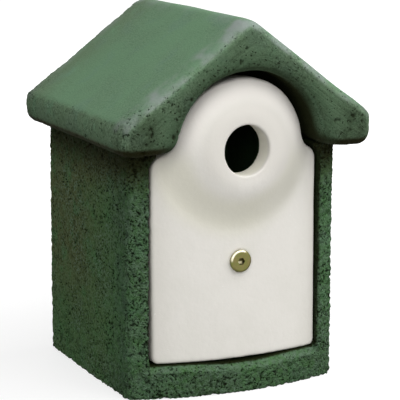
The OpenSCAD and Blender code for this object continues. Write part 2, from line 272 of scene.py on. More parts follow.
def add_floor():
    """A floor that the camera sees as white, apart from the shadow close to the box."""
    mesh = bpy.data.meshes.new("floor")
    half = FLOOR_SIZE / 2
    corners = [(-half, -half, 0), (half, -half, 0), (half, half, 0), (-half, half, 0)]
    mesh.from_pydata(corners, [], [(0, 1, 2, 3)])
    material, make, shader = new_material("white floor")
    away = make.vector("LENGTH", make.object_place())
    lift = make.product(sees_background(make), make.ramp(away, NEAR, FAR, LIFT_NEAR, LIFT_FAR))
    make.feed(shader, {
        "Base Color": FLOOR_GREY, "Roughness": 1.0, "Specular IOR Level": 0.0,
        "Emission Color": WHITE, "Emission Strength": lift,
    })
    mesh.materials.append(material)
    add_object("floor", mesh)


add_floor()
print("a floor", FLOOR_SIZE, "m wide")

# %% [markdown]
# ## Cast pieces
# Wood-concrete is wet wood chips and cement rammed into a mould. Flat faces come out closed, while
# edges crumble and small holes stay open. Such a skin could be sculpted by hand. Here it follows a
# rule, so that all the cast pieces are of one stuff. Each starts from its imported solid. A voxel
# remesh turns that into one even skin, relaxing wears the edges round, and then a Geometry Nodes
# tree moves the skin in and out.

# %% Read and move a mesh's points
def points_of(mesh):
    """The mesh's points as one array."""
    flat = np.empty(len(mesh.vertices) * 3)
    mesh.vertices.foreach_get("co", flat)
    return flat.reshape(-1, 3)


def normals_of(mesh):
    """The directions that the mesh's points face."""
    flat = np.empty(len(mesh.vertices) * 3, np.float32)
    mesh.vertex_normals.foreach_get("vector", flat)
    return flat.reshape(-1, 3).astype(float)


def put_points(mesh, points):
    """Moves the mesh's points."""
    mesh.vertices.foreach_set("co", points.astype(np.float32).ravel())
    mesh.update()


def put_numbers(mesh, **numbers):
    """Keeps numbers for each point, for the node trees to read."""
    count = len(mesh.vertices)
    for name, values in numbers.items():
        attribute = mesh.attributes.new(name, "FLOAT", "POINT")
        attribute.data.foreach_set("value", np.broadcast_to(values, (count,)).astype(np.float32))


def ease(values, start, end):
    """Smooth step from 0 at the start to 1 at the end, which may be lower than the start."""
    t = np.clip((values - start) / (end - start), 0, 1)
    return t * t * (3 - 2 * t)


def rise(lengths, start, end):
    """Smooth step of lengths, with its start and end in millimetres."""
    return ease(lengths, start * MM, end * MM)


# %% Copy, apply and place pieces
def joined_copy(node):
    """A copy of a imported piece's mesh, with its loose triangles joined."""
    work = bmesh.new()
    work.from_mesh(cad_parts[node].data)
    bmesh.ops.remove_doubles(work, verts=work.verts, dist=MM / 1000)
    mesh = bpy.data.meshes.new(node + " copy")
    work.to_mesh(mesh)
    work.free()
    return mesh


def evaluated_mesh(piece):
    """The piece's mesh with its modifiers applied, and the modifiers removed."""
    graph = bpy.context.evaluated_depsgraph_get()
    mesh = bpy.data.meshes.new_from_object(piece.evaluated_get(graph), depsgraph=graph)
    piece.modifiers.clear()
    piece.data = mesh
    return mesh


def shade_smooth(mesh, sharp_angle=None):
    """Smooth shading, with edges sharper than an angle kept sharp."""
    mesh.polygons.foreach_set("use_smooth", np.ones(len(mesh.polygons), bool))
    if sharp_angle:
        mesh.set_sharp_from_angle(angle=math.radians(sharp_angle))


def triangles_in(mesh):
    """How many triangles the mesh's faces come to."""
    return sum(len(face.vertices) - 2 for face in mesh.polygons)


def thin_out(piece, most):
    """Brings a mesh down to a number of triangles, taking the flattest parts first."""
    count = triangles_in(piece.data)
    if count > most:
        fewer = piece.modifiers.new("fewer", "DECIMATE")
        fewer.ratio = most / count
        evaluated_mesh(piece)
    shade_smooth(piece.data)
    print(piece.name, "triangles:", count, "->", triangles_in(piece.data))


def place_piece(piece, body_name, node):
    """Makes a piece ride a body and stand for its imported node."""
    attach(piece, body_name)
    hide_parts(node)


# %% Make an even skin
def relax(mesh, times, weights=1.0):
    """Moves each point towards the middle of its neighbours, as far as its weight says."""
    ends = np.empty(len(mesh.edges) * 2, np.int32)
    mesh.edges.foreach_get("vertices", ends)
    one, two = ends.reshape(-1, 2).T
    points = points_of(mesh)
    count = len(points)
    near = np.maximum(np.bincount(one, minlength=count) + np.bincount(two, minlength=count), 1)
    share = 0.5 * np.broadcast_to(weights, (count,))
    for _ in range(times):
        for axis in range(3):
            values = points[:, axis]
            total = np.bincount(one, values[two], count) + np.bincount(two, values[one], count)
            points[:, axis] = values + share * (total / near - values)
    put_points(mesh, points)


def even_skin(name, node, voxel, times):
    """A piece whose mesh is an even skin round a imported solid, and how far each point stood out."""
    piece = add_object(name, joined_copy(node))
    remesh = piece.modifiers.new("voxels", "REMESH")
    remesh.mode = "VOXEL"
    remesh.voxel_size = voxel
    mesh = evaluated_mesh(piece)
    before = points_of(mesh)
    relax(mesh, times)
    worn = ((before - points_of(mesh)) * normals_of(mesh)).sum(1)
    edge = np.clip(worn / voxel, -1, 1)
    put_numbers(mesh, edge=edge)
    return piece, edge


# %% [markdown]
# The skin's rule has five parts: a slow wobble from the mould, lumps with creases between them,
# crumbs, pits that stayed open, and chips along the edges. The number kept as "rough" says how
# coarse each point is, from a closed face to a crumbled edge, "open" says how many pits it has, and
# "edge" how exposed it is. A Displace modifier could push the skin by one texture, but a tree can
# weigh these parts point by point. It keeps the place of each point before it moved, so that the
# material can follow the same pattern, and how high the point stands, so that creases can be
# painted dark as painted shade.

# %% Start, end and run a tree
def new_rule(name, numbers):
    """The steps and the inputs of a new tree that takes geometry, named numbers and a finish."""
    tree = bpy.data.node_groups.new(name, "GeometryNodeTree")
    tree.interface.new_socket("Geometry", in_out="INPUT", socket_type="NodeSocketGeometry")
    for label, value in numbers.items():
        kind = "NodeSocketInt" if isinstance(value, int) else "NodeSocketFloat"
        tree.interface.new_socket(label, in_out="INPUT", socket_type=kind).default_value = value
    tree.interface.new_socket("Finish", in_out="INPUT", socket_type="NodeSocketMaterial")
    tree.interface.new_socket("Geometry", in_out="OUTPUT", socket_type="NodeSocketGeometry")
    make = NodeSteps(tree)
    return make, make.add("NodeGroupInput").outputs


def move_points(make, geometry, **inputs):
    """Geometry with its points moved to a Position, or by an Offset."""
    return make.add("GeometryNodeSetPosition", {"Geometry": geometry, **inputs}).outputs[0]


def end_rule(make, geometry, finish):
    """The tree, ended by making instances real and giving them their finish."""
    real = make.add("GeometryNodeRealizeInstances", {"Geometry": geometry}).outputs[0]
    painted = make.add("GeometryNodeSetMaterial", {"Geometry": real, "Material": finish}).outputs[0]
    make.add("NodeGroupOutput", {"Geometry": painted})
    print("tree:", make.tree.name, "with", len(make.tree.nodes), "nodes")
    return make.tree


def run_tree(piece, tree, **values):
    """Runs a tree on a piece with its inputs set by their sockets' identifiers, and keeps the mesh."""
    modifier = piece.modifiers.new(tree.name, "NODES")
    modifier.node_group = tree
    sockets = {s.name: s.identifier for s in tree.interface.items_tree if s.in_out == "INPUT"}
    for label, value in values.items():
        modifier[sockets[label.replace("_", " ")]] = value
    evaluated_mesh(piece)


# %% Build the tree for the cast skin
SKIN_FORMS = {"Wobble": (50, 0.5), "Lump": (5, 1.2), "Crumb": (3, 1.2), "Pit": (3.5, 1.2), "Chip": (6, 2)}
CLUSTER_SIZE = 13 * MM
LUMP_MIDDLE = 0.22
LUMP_BEND = 0.7


def form_numbers(forms):
    """Sizes and heights or depths of forms, given in millimetres, as named numbers for the tree."""
    numbers = {}
    for form, (size, relief) in forms.items():
        numbers[form + " size"] = size * MM
        numbers[form + " relief"] = relief * MM
    return numbers


def pit_level(make, place, size, open_share):
    """How deep a place lies in a pit, from 0 to 1, where the share says how many pits there are."""
    level = make.ramp(open_share, 0.0, 1.0, 0.30, 0.45)
    return make.ramp(make.math("SUBTRACT", level, make.noise(place, size, 1.5)), -0.015, 0.03)


def in_clusters(make, place, share):
    """A share of pits gathered into clusters a centimetre or two wide."""
    return make.product(share, make.ramp(make.noise(place, CLUSTER_SIZE), 0.36, 0.64, 0.4, 1.35))


def cast_skin_tree():
    """The tree that turns an even skin into a cast one."""
    make, given = new_rule("cast skin", {**form_numbers(SKIN_FORMS), "Lowest": -1.0, "Seed": 1.0})
    place = make.add("GeometryNodeInputPosition").outputs[0]
    facing = make.add("GeometryNodeInputNormal").outputs[0]

    def kept(label):
        return make.add("GeometryNodeInputNamedAttribute", {"Name": label}, data_type="FLOAT").outputs[0]

    def store(geometry, label, value, kind="FLOAT"):
        return make.add("GeometryNodeStoreNamedAttribute", {
            "Geometry": geometry, "Name": label, "Value": value,
        }, data_type=kind, domain="POINT").outputs[0]

    def swell(form, detail):
        level = make.math("SUBTRACT", make.noise(moved, given[form + " size"], detail), 0.5)
        return make.product(level, given[form + " relief"])

    moved = make.vector("ADD", place, make.joined(given["Seed"], given["Seed"]))
    bend = make.noise(moved, given["Lump size"], 1.0, output=1)
    bend = make.vector("SCALE", bend, scale=make.product(given["Lump size"], LUMP_BEND))
    cells = make.add("ShaderNodeTexVoronoi", {
        "Vector": make.vector("ADD", moved, bend), "Scale": make.math("DIVIDE", 1.0, given["Lump size"]),
    }).outputs["Distance"]
    dome = make.math("SUBTRACT", LUMP_MIDDLE, make.product(cells, cells))
    lumps = make.product(dome, given["Lump relief"])
    coarse = make.product(make.math("ADD", lumps, swell("Crumb", 2.0)), kept("rough"))
    pit = pit_level(make, moved, given["Pit size"], in_clusters(make, moved, kept("open")))
    pit = make.product(pit, make.ramp(kept("open"), 0.0, 0.1))
    chip = make.ramp(make.noise(moved, given["Chip size"], 2.0), 0.46, 0.66)
    chip = make.product(chip, make.ramp(kept("edge"), 0.15, 0.9), given["Chip relief"])
    total = make.math("ADD", swell("Wobble", 1.0), coarse)
    total = make.math("SUBTRACT", total, make.product(pit, given["Pit relief"]))
    total = make.math("SUBTRACT", total, chip)
    told = store(given["Geometry"], "skin", moved, "FLOAT_VECTOR")
    told = store(told, "pit", pit)
    told = store(told, "heap", make.math("DIVIDE", coarse, given["Lump relief"]))
    pushed = move_points(make, told, Offset=make.vector("SCALE", facing, scale=total))
    # A field is read afresh wherever it is used, so the same place is now that of the pushed points.
    x, y, z = make.parts(place)
    stood = make.joined(x, y, make.math("MAXIMUM", z, given["Lowest"]))
    return end_rule(make, move_points(make, pushed, Position=stood), given["Finish"])


def grow_skin(piece, finish, most, seed, lowest=-1.0, **forms):
    """Runs the skin's tree with these forms, and thins the mesh out to a number of triangles."""
    run_tree(piece, CAST_SKIN, Finish=finish, Seed=seed, Lowest=lowest, **form_numbers(forms))
    thin_out(piece, most)


CAST_SKIN = cast_skin_tree()

# %% [markdown]
# ## Finish of the cast green
# The green is mixed into the wood-concrete, so it varies in patches. Its grains are painted lighter
# and darker, as painted highlight and painted shade on the relief, and its open pits and creases are
# painted dark as painted shade. Edges that were rubbed are paler and bluish, partly as wear and partly
# as a painted highlight. Stains brown the sides, and a dark layer that is partly dirt and partly
# painted shade darkens the hollows. A painted picture would stretch over such a skin. Instead the
# pattern is read at the skin's own places, so it stays on the piece when the piece moves, and the
# fine pits sit on the relief that the tree made.

# %% Mix the green finishes
# The colour of dirt and of the painted shade in hollows, gaps and under the eaves.
DIRT = (0.0100, 0.0095, 0.0010, 1)


def toned(colour, red, green, blue):
    """A colour with its red, green and blue multiplied."""
    return colour[0] * red, colour[1] * green, colour[2] * blue, 1


def cast_green(name, base, dark, bright, pale, stain, pit_size, grain_size, grain_height, rub_size,
               grain=(0.15, 1.0), patchy=1.0, stroke=0.0):
    """Cast green with patches and stains, painted highlight and shade on its grains, pits and creases,
    paler edges, and dirt with painted shade.
    """
    material, make, shader = new_material(name)
    place = make.kept("skin", "Vector")
    patches = make.ramp(make.noise(place, 35 * MM, 3.0, 0.6), 0.38, 0.62)
    cool = make.ramp(make.noise(place, 20 * MM), 0.52, 0.66, 0.0, 0.4 * patchy)
    stained = make.product(make.kept("stain"), make.ramp(make.noise(place, 18 * MM, 5.0, 0.7), 0.30, 0.54))
    speckle = make.noise(place, grain_size, 2.0, 0.6)
    grainy = make.ramp(make.kept("rough"), 0.0, 0.6, *grain)
    grainy = make.product(grainy, make.ramp(patches, 0.0, 1.0, 0.45, 1.05))
    # The grains are painted: lit ones paler as painted highlight, sunk ones darker as painted shade.
    lit = make.product(grainy, make.ramp(speckle, 0.50, 0.66, 0.0, 0.8))
    sunk = make.product(grainy, make.ramp(speckle, 0.50, 0.33, 0.0, 0.8))
    layers = [(make.product(patches, patchy), toned(base, 0.92, 0.84, 0.9)),
              (cool, toned(base, 0.95, 0.86, 1.35)), (stained, stain), (lit, bright), (sunk, dark)]
    open_share = in_clusters(make, place, make.kept("open"))
    fine_pit = make.product(pit_level(make, place, pit_size, open_share), make.ramp(open_share, 0.0, 0.1))
    height = make.product(speckle, make.math("ADD", 0.25, make.kept("rough")))
    height = make.math("SUBTRACT", height, fine_pit)
    if stroke:
        strokes = make.noise(make.kept("strokes", "Vector"), 1.6 * MM, 3.0, 0.6)
        worked = make.kept("worked")
        layers += [(make.product(worked, make.ramp(strokes, 0.48, 0.32, 0.0, 0.4)), dark),
                   (make.product(worked, make.ramp(strokes, 0.54, 0.72, 0.0, 0.25)), bright)]
        height = make.math("ADD", height, make.product(strokes, worked, stroke))
    # Creases are painted dark, as painted shade.
    crease = make.product(make.ramp(make.kept("heap"), -0.05, -0.4), 0.35)
    # Rubbed edges are painted paler, partly as wear and partly as a painted highlight.
    rubbed = make.product(make.kept("rubbed"), make.ramp(make.noise(place, rub_size), 0.3, 0.7))
    # Pits are painted nearly black, as painted shade.
    hole = make.product(make.math("MAXIMUM", fine_pit, make.kept("pit")), 0.85)
    layers += [(crease, dark), (rubbed, pale), (hole, toned(dark, 0.4, 0.4, 0.4)), (make.kept("dirt"), DIRT)]
    make.feed(shader, {
        "Base Color": make.paint(base, *layers), "Roughness": 0.92, "Specular IOR Level": 0.06,
        "Normal": make.bump(height, grain_height),
    })
    return material


BODY_GREEN = cast_green(
    "cast green body", base=(0.096, 0.228, 0.083, 1), dark=(0.012, 0.022, 0.010, 1),
    bright=(0.17, 0.26, 0.18, 1), pale=(0.17, 0.26, 0.18, 1), stain=(0.119, 0.150, 0.062, 1),
    pit_size=1.3 * MM, grain_size=1.3 * MM, grain_height=2.4 * MM, rub_size=4 * MM)
ROOF_GREEN = cast_green(
    "cast green roof", base=(0.148, 0.268, 0.156, 1), dark=(0.035, 0.062, 0.035, 1),
    bright=(0.23, 0.34, 0.22, 1), pale=(0.27, 0.315, 0.29, 1), stain=(0.125, 0.135, 0.080, 1),
    pit_size=1.8 * MM, grain_size=1.2 * MM, grain_height=0.7 * MM, rub_size=15 * MM,
    grain=(0.25, 0.7), patchy=0.4, stroke=0.9)
print("finishes:", BODY_GREEN.name, "and", ROOF_GREEN.name)

# %% [markdown]
# ## Body
# The body is one casting: a floor and three walls, with narrow strips that frame the panel.
# Its outside is the coarsest surface of the box, most of all along its edges, while the room inside
# and the rebate for the panel came off a smooth core. Its lowest edge is chipped where it was set
# down. The sill sags in its middle, so the panel stands on its two corners above a slit, which is
# painted dark as painted shadow, like the gaps beside the panel. Under the eaves the colour is
# painted darker as painted shade. The front is paler on its crumbs and ledge, partly as wear and
# partly as painted highlight. Each of these is a number between 0 and 1 that is worked out from
# where a point lies, which is easier to change than a painted mask.

# %% Cast the body
body_low, body_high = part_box("body_shell")
FRONT_BOW = 13 * MM
FRONT_R = (body_high.x ** 2 + FRONT_BOW ** 2) / (2 * FRONT_BOW)
ARC_Y = body_low.y + FRONT_R
SILL_Z, STRIP_W = 20.2 * MM, 13 * MM
SILL_LIFT, SILL_SAG, SAG_X = 0.6 * MM, 1.7 * MM, 5 * MM


def cast_body():
    """The body with a crumbled outside and a calm inside."""
    piece, edge = even_skin("cast_body", "body_shell", voxel=1.1 * MM, times=4)
    mesh = piece.data
    x, y, z = points_of(mesh).T
    behind_face = FRONT_R - np.hypot(x, y - ARC_Y)
    beside_panel = np.abs(x) - body_high.x + STRIP_W
    low_part = z < SILL_Z + 1.5 * MM
    ledge = ease(normals_of(mesh)[:, 2], 0.2, 0.5) * rise(z, 12, 15) * low_part
    sill = rise(z, 8, 17) * rise(behind_face, 17, 16) * rise(y, -50, -56) * low_part
    sag = SILL_SAG * rise(np.abs(x - SAG_X), 42, 8)
    z = z + sill * (SILL_LIFT * rise(np.abs(x), 58, 54) - sag)
    put_points(mesh, np.stack([x, y, z], 1))
    depth = np.minimum.reduce([body_high.x - np.abs(x), body_high.y - y, behind_face, z])
    outside = rise(depth, 5.5, 2.5)
    front = rise(-y, 18, 58)
    side = 1 - front
    ledge *= front * outside
    exposed = np.clip(edge * 2, 0, 1)
    browned = side * (0.35 + 0.65 * rise(y, -30, 30) * rise(z, 20, 80))
    # The front is painted paler on its crumbs and its upward ledge, partly as wear and partly as a painted
    # highlight.
    rubbed = front * (0.42 + 0.4 * exposed) * rise(z, 150, 120) + 0.4 * ledge
    # Under the eaves the colour is painted darker, as painted shade.
    under_eaves = 0.86 * outside * rise(z, 122, 150)
    # The front is darker, more so towards the bottom.
    splashed = outside * front * (0.21 + 0.08 * rise(z, 26, 18))
    # The strips' edges beside the panel and the slit under it are painted dark, as painted shadow.
    by_panel = 0.85 * front * rise(beside_panel, 1.2, 0.1) * rise(z - SILL_Z, -1, 2)
    slit = 0.95 * front * rise(behind_face, 2.6, 4.0) * (z > 15 * MM) * (beside_panel < 0)
    put_numbers(
        mesh, rough=outside * (0.62 * side + front + 0.5 * exposed) * (1 - 0.5 * ledge),
        open=outside * (0.43 * side + 0.50 * front) * (1 - 0.4 * ledge),
        stain=outside * np.clip(browned + rise(z, 120, 150), 0, 1),
        rubbed=outside * np.clip(rubbed, 0, 1),
        dirt=np.maximum.reduce([under_eaves, splashed, 0.35 * (1 - outside), by_panel, slit]))
    grow_skin(piece, BODY_GREEN, most=190000, seed=3.0, lowest=0.0, Wobble=(50, 1.2), Lump=(2.7, 1.4),
              Crumb=(2.1, 1.8), Pit=(2.2, 1.2), Chip=(5, 1.7))
    return piece


place_piece(cast_body(), "box", "body_shell")

# %% [markdown]
# ## Roof
# The roof is a second casting, bedded on the walls. Its slopes were struck off smooth, and its gable
# ends and eaves show the strokes of the tool and the pits of the mix. The rounded edges between them
# carry a pale band, partly rubbed wear and partly a painted highlight. The vault, its mouth and the
# underside are painted dark as painted shade. The arched vault is rounded at its mouth, and the front
# end of the right eave hangs a little low. Bevels would round every edge alike, so these edges are
# relaxed more than the rest, as far as they are worn.

# %% Cast the roof
roof_low, roof_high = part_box("roof")
HOLE_Z = 155 * MM
VAULT_R = 49 * MM
SLOPE = math.radians(36.5)
EAVE_DROOP = 2.0 * MM
RIDGE_X, RIDGE_ROUND = 6 * MM, 8 * MM
STROKE_STRETCH = 0.06


def cast_roof():
    """The roof with smooth slopes, worked gables and a rounded mouth."""
    piece, _ = even_skin("cast_roof", "roof", voxel=1.15 * MM, times=8)
    mesh = piece.data
    x, y, z = points_of(mesh).T
    radial = np.hypot(x, z - HOLE_Z)
    past_vault = radial - VAULT_R
    relax(mesh, 24, rise(y - roof_low.y, 12, 7) * rise(past_vault, 12, 7))
    relax(mesh, 40, rise(roof_high.y - np.abs(y), 19, 11) * rise(past_vault, 3, 8) * rise(np.abs(x), 74, 60))
    x, y, z = points_of(mesh).T
    above_low = z - roof_low.z
    z = z - EAVE_DROOP * rise(x, 46, 64) * rise(above_low, 16, 3) * rise(-y, 0, 60)
    put_points(mesh, np.stack([x, y, z], 1))
    nx, ny, nz = normals_of(mesh).T
    slope = ease(nz, 0.45, 0.8)
    gable = ease(np.abs(ny), 0.80, 0.97)
    eave = (1 - slope) * (1 - gable)
    under = ease(-nz, 0.25, 0.6)
    inwards = -(nx * x + nz * (z - HOLE_Z)) / np.maximum(radial, MM)
    # The vault is painted nearly black, as painted shade.
    vault = ease(inwards, 0.1, 0.65) * rise(past_vault, 14, 8) * (y < 60 * MM)
    vault *= 0.55 + 0.45 * rise(y - roof_low.y, 3, 13)
    clear = 1 - vault
    by_vault = gable * rise(past_vault, 14, 2)
    # The pale band along the rounded gable edges, stronger in front, and the paler ridge are partly wear and
    # partly a painted highlight.
    band = rise(roof_high.y - np.abs(y), 20, 9) * ease(nz, 0.05, 0.3)
    band *= ease(np.abs(ny) - 0.1 * (x > 0), 0.90, 0.72) * np.where(y < 0, 1.0, 0.4)
    corner = rise(np.abs(x), 54, 70) * rise(np.abs(y), 62, 78) * rise(z, 190, 176)
    far_edge = rise(roof_high.y - y, 12, 5) * ease(nz, 0.1, 0.4)
    holes = 0.20 * gable + 0.15 * by_vault + 0.24 * eave + np.where(x < 0, 0.23, 0.04) * corner
    stain = 0.75 * under + 0.35 * (1 - slope) * (1 - 0.4 * gable) + 0.40 * slope * rise(y, 25, 78)
    # Painted shade darkens the underside, the vault's mouth and the foot of the eaves; the gable ends and
    # corners are darker too.
    dirt = 0.55 * under + 0.44 * gable + 0.25 * by_vault + 0.18 * corner
    dirt += 0.33 * eave * rise(z - roof_low.z, 14, 2)
    put_numbers(
        mesh, rough=0.06 + 0.36 * (1 - slope) + 0.10 * eave + 0.3 * corner + 1.2 * far_edge,
        open=holes * clear, stain=np.clip(stain, 0, 1) * rise(past_vault, 3, 12),
        rubbed=np.clip(0.95 * band + 0.35 * rise(roof_high.z - z, 6, 1), 0, 1),
        dirt=np.clip(0.97 * vault + dirt * clear, 0, 0.97),
        worked=np.clip(gable + 0.35 * (1 - slope) * (1 - under), 0, 1) * 0.8 * clear)
    on_gable = np.abs(ny) > np.abs(nx)
    across = np.hypot(x - RIDGE_X, RIDGE_ROUND) * math.sin(SLOPE) + z * math.cos(SLOPE)
    strokes = np.stack([np.where(on_gable, x, y) * STROKE_STRETCH, np.where(on_gable, across, z), 0 * x], 1)
    kept_strokes = mesh.attributes.new("strokes", "FLOAT_VECTOR", "POINT")
    kept_strokes.data.foreach_set("vector", strokes.astype(np.float32).ravel())
    grow_skin(piece, ROOF_GREEN, most=170000, seed=7.0, Wobble=(60, 1.6), Lump=(5, 0.9),
              Crumb=(2.8, 1.0), Pit=(3.4, 1.1), Chip=(6, 0.8))
    return piece


place_piece(cast_roof(), "box", "roof")

# %% [markdown]
# ## Front panel
# The panel is cast too, but in a smooth mould, and it is cream right through. Its front is bowed and
# swells into a dome round the entrance, and in the casting the two flow into each other. A fillet
# between them would still show where it starts and ends. So the whole front is moved to a surface
# that runs smoothly from the dome's flat ring out to the face. The entrance isn't quite round, and
# the panel hangs a little askew, so the slit beside its left foot is wider. The top of the dome is
# painted lighter, as painted light. The dome's flank and the entrance are painted darker and a little
# yellow, as painted shade, and the ring round the entrance is painted a little darker, as painted shade.

# %% Describe the panel's front
panel_low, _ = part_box("front_panel")
FACE_R = FRONT_R - 3.5 * MM
BOLT_Z = 84 * MM
DOME_FLAT_R, DOME_ROUND_R, DOME_FLANK_R = 24 * MM, 20 * MM, 38 * MM
SWELL_FROM, SWELL_TO = 20 * MM, 53 * MM


def face_at(x):
    """Depth of the bowed face."""
    return ARC_Y - np.sqrt(FACE_R ** 2 - x ** 2)


def packed_front(x, z):
    """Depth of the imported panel's front: the nearer of its turned dome and its face."""
    radius = np.hypot(x, z - HOLE_Z)
    run = DOME_FLANK_R - DOME_FLAT_R
    turned_in = np.clip(radius - DOME_FLAT_R, 0, run)
    lean = run / math.sqrt(DOME_ROUND_R ** 2 - run ** 2)
    drop = DOME_ROUND_R - np.sqrt(DOME_ROUND_R ** 2 - turned_in ** 2)
    drop += lean * np.maximum(radius - DOME_FLANK_R, 0)
    return np.minimum(panel_low.y + drop, face_at(x))


def cast_front(x, z):
    """Depth of the casting's front, which swells from the face to the dome's flat ring."""
    share = ease(np.hypot(x, z - HOLE_Z), SWELL_FROM, SWELL_TO)
    return panel_low.y + (face_at(x) - panel_low.y) * share


def away_from(points, walls):
    """Distance of each point from the nearest wall point, seen from the front."""
    tree = KDTree(len(walls))
    for index, wall in enumerate(walls):
        tree.insert((wall[0], 0.0, wall[2]), index)
    tree.balance()
    return np.array([tree.find((p[0], 0.0, p[2]))[2] for p in points])


print("dome stands out, mm:", round((face_at(0.0) - panel_low.y) / MM, 1))

# %% Mix the cream finish
CREAM, DULL_CREAM, FLECK = (0.84, 0.815, 0.76, 1), (0.81, 0.788, 0.728, 1), (0.93, 0.915, 0.87, 1)
# Painted shade tinted yellow, painted shade round the entrance, painted light on the dome's top, and dirt
# with painted shade.
PANEL_TINTS = {
    "damp": (0.775, 0.755, 0.63, 1), "handled": (0.77, 0.742, 0.685, 1),
    "washed": (0.93, 0.892, 0.835, 1), "dirt": (0.33, 0.30, 0.23, 1),
}


def panel_cream():
    """Cream wood-concrete from a smooth mould."""
    material, make, shader = new_material("cream cast panel")
    place = make.kept("skin", "Vector")
    tone = make.ramp(make.noise(place, 30 * MM, 5.0, 0.65), 0.35, 0.65)
    flecks = make.ramp(make.noise(place, 2.5 * MM, 2.0, 0.6), 0.735, 0.78, 0.0, 0.8)
    tints = [(make.kept(label), tint) for label, tint in PANEL_TINTS.items()]
    make.feed(shader, {
        "Base Color": make.paint(CREAM, (tone, DULL_CREAM), (flecks, FLECK), *tints),
        "Roughness": 0.7, "Specular IOR Level": 0.25,
        "Normal": make.bump(make.noise(place, 4 * MM, 4.0, 0.6), 0.2 * MM),
    })
    return material


PANEL_CREAM = panel_cream()
print("finish:", PANEL_CREAM.name, "with tints", ", ".join(PANEL_TINTS))

# %% Cast the panel
HOLE_R = 16 * MM
CORNER_Y = body_low.y + FRONT_BOW
HOLE_NARROWER, HOLE_FLATTER, HOLE_DROP, HOLE_DEEPER = 0.05, 0.02, 0.4 * MM, 1.3 * MM
FOOT_SHIFT, FOOT_SHIFT_TOP, FOOT_LIFT = 1.5 * MM, 115 * MM, 0.8 * MM


def cast_panel():
    """The panel with a dome that swells out of its bowed face."""
    piece, _ = even_skin("cast_panel", "front_panel", voxel=0.85 * MM, times=3)
    mesh = piece.data
    at = points_of(mesh)
    x, y, z = at.T
    radius = np.hypot(x, z - HOLE_Z)
    to_bolt = np.hypot(x, z - BOLT_Z)
    sunk = y - packed_front(x, z)
    wall = (np.abs(normals_of(mesh)[:, 1]) < 0.35) & (sunk < 9 * MM)
    wall &= (radius > 36 * MM) & (to_bolt > 12 * MM)
    from_wall = away_from(at, at[wall])
    relax(mesh, 4, rise(from_wall, 4, 2) * (sunk < 6 * MM))
    x, y, z = points_of(mesh).T
    sunk = y - packed_front(x, z)
    front = cast_front(x, z)
    on_front = (np.abs(sunk) < 1 * MM) * rise(from_wall, 1.5, 4)
    on_front = on_front * rise(radius, 16.3, 16.9) * rise(to_bolt, 6.9, 7.1)
    y = y + (front - packed_front(x, z)) * rise(sunk, 10, 0.5)
    y = y + (front - y) * on_front
    y = y + HOLE_DEEPER * (radius < 33 * MM) * rise(y - panel_low.y, 11, 13.4)
    put_points(mesh, np.stack([x, y, z], 1))
    relax(mesh, 3, 0.6)
    at = points_of(mesh)
    in_hole = rise(radius - HOLE_R, 5, 0.2) * (at[:, 1] < panel_low.y + 20 * MM)
    at[:, 0] -= in_hole * HOLE_NARROWER * at[:, 0]
    at[:, 2] -= in_hole * (HOLE_FLATTER * (at[:, 2] - HOLE_Z) + HOLE_DROP)
    at[:, 0] += FOOT_SHIFT * np.clip(1 - at[:, 2] / FOOT_SHIFT_TOP, 0, 1)
    at[:, 2] += FOOT_LIFT * rise(at[:, 2], 60, 24)
    put_points(mesh, at)
    above = z - HOLE_Z
    wide = np.hypot(x + 4 * MM, above)
    bore = rise(radius - HOLE_R, 1.5, 0) * rise(y - panel_low.y, 1, 4)
    flank = rise(wide, 26, 37) * rise(wide, 61, 46) * (0.75 - 0.2 * rise(x, 4, 24))
    put_numbers(
        # Painted shade, tinted yellow, on the dome's flank and in the entrance; painted shade on the ring
        # round the entrance; painted light on the dome's top. The panel is also darker along its rims and
        # behind the body's front corners.
        mesh, rough=0.1, open=0.0, damp=flank * rise(-above, -14, 14) + 0.6 * bore,
        handled=rise(radius, 34, 26) * rise(above, -26, -10) * (1 - bore),
        washed=rise(radius, 27, 36) * rise(above, -8, 14),
        dirt=0.06 * rise(from_wall, 1.2, 0) + 0.25 * rise(y - CORNER_Y, -6, 2))
    grow_skin(piece, PANEL_CREAM, most=150000, seed=11.0, Wobble=(50, 0.7), Lump=(5, 0.3),
              Crumb=(3, 0.3), Pit=(3.5, 0), Chip=(6, 0))
    return piece


place_piece(cast_panel(), "panel", "front_panel")

# %% [markdown]
# ## Turned shapes
# Bolts, nuts, screws and washers are turned or cold-formed round an axis. A Screw modifier would spin
# one outline, which is always round. Here one helper builds them from rings, and a ring has a radius
# at each step round the axis, so a socket can be a hexagon and a recess a cross in the same mesh.

# %% Build turned shapes
AROUND = 48
STEPS = np.arange(AROUND) * 2 * math.pi / AROUND


def hexagon(flats):
    """Radius of a hexagon of this width across its flats, with a corner at the first step."""
    return flats / 2 / np.cos(STEPS % (math.pi / 3) - math.pi / 6)


def cross(arm, width):
    """Radius of a cross with arms of this length and width."""
    off_arm = np.abs((STEPS + math.pi / 4) % (math.pi / 2) - math.pi / 4)
    return np.minimum(arm, width / 2 / np.maximum(np.sin(off_arm), 0.01))


def toothed(inner, outer, teeth):
    """Radius that swings between teeth and the slots between them."""
    return np.where(np.cos(STEPS * teeth) > -0.2, inner, outer)


def curve(radius, reach, drop, steps=6):
    """Rings along a quarter of an ellipse that falls away from a face."""
    turns = [math.pi / 2 * step / steps for step in range(1, steps + 1)]
    return [(radius + reach * math.sin(t), drop * (1 - math.cos(t))) for t in turns]


